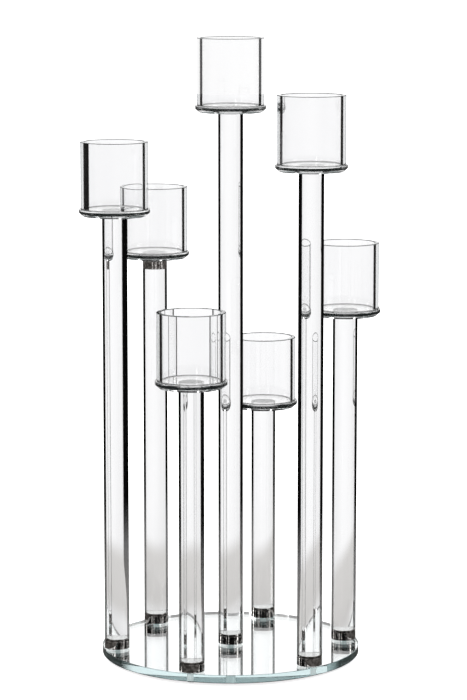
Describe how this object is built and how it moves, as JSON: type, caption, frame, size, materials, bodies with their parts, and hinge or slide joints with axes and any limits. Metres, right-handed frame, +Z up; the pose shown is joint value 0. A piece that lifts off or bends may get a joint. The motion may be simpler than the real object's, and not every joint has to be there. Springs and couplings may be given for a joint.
{
  "type": "seven-light glass menorah",
  "caption": "Clear glass rods of stepped heights on a round mirror base, each with a metal foot ferrule, a bevelled plate and an open glass cup for a light.",
  "frame": {"origin": "centre of the ground plane under the round base", "axes": "+Z up along the stems, -Y the front, +X to the front view's right"},
  "size_m": [0.3005, 0.292, 0.6245],
  "materials": {
    "base_glass": "clear float glass, polished edge",
    "silvering": "silvered face up, grey protective paint below",
    "pad_rubber": "satin translucent pad",
    "polished_nickel": "polished",
    "clear_crystal": "clear, fire polished",
    "clear_cup_glass": "clear, polished rim",
    "clear_bond": "cured clear adhesive film",
    "washer_nylon": "natural nylon",
    "screw_steel": "zinc plated"
  },
  "bodies": {
    "root": {"base_glass": "base_glass", "mirror_backing": "silvering", "bumper_pads": "pad_rubber", "stem_1_foot_ferrule": "polished_nickel", "stem_1_rod": "clear_crystal", "stem_1_cup_plate": "clear_crystal", "stem_1_cup": "clear_cup_glass", "stem_2_foot_ferrule": "polished_nickel", "stem_2_rod": "clear_crystal", "stem_2_cup_plate": "clear_crystal", "stem_2_cup": "clear_cup_glass", "stem_3_foot_ferrule": "polished_nickel", "stem_3_rod": "clear_crystal", "stem_3_cup_plate": "clear_crystal", "stem_3_cup": "clear_cup_glass", "stem_4_foot_ferrule": "polished_nickel", "stem_4_rod": "clear_crystal", "stem_4_top_ferrule": "polished_nickel", "stem_4_cup_plate": "clear_crystal", "stem_4_cup": "clear_cup_glass", "stem_5_foot_ferrule": "polished_nickel", "stem_5_rod": "clear_crystal", "stem_5_cup_plate": "clear_crystal", "stem_5_cup": "clear_cup_glass", "stem_6_foot_ferrule": "polished_nickel", "stem_6_rod": "clear_crystal", "stem_6_cup_plate": "clear_crystal", "stem_6_cup": "clear_cup_glass", "stem_7_foot_ferrule": "polished_nickel", "stem_7_rod": "clear_crystal", "stem_7_cup_plate": "clear_crystal", "stem_7_cup": "clear_cup_glass", "rod_bonds": "clear_bond", "cup_bonds": "clear_bond", "fixing_washers": "washer_nylon", "fixing_screws": "screw_steel"}
  },
  "joints": []
}
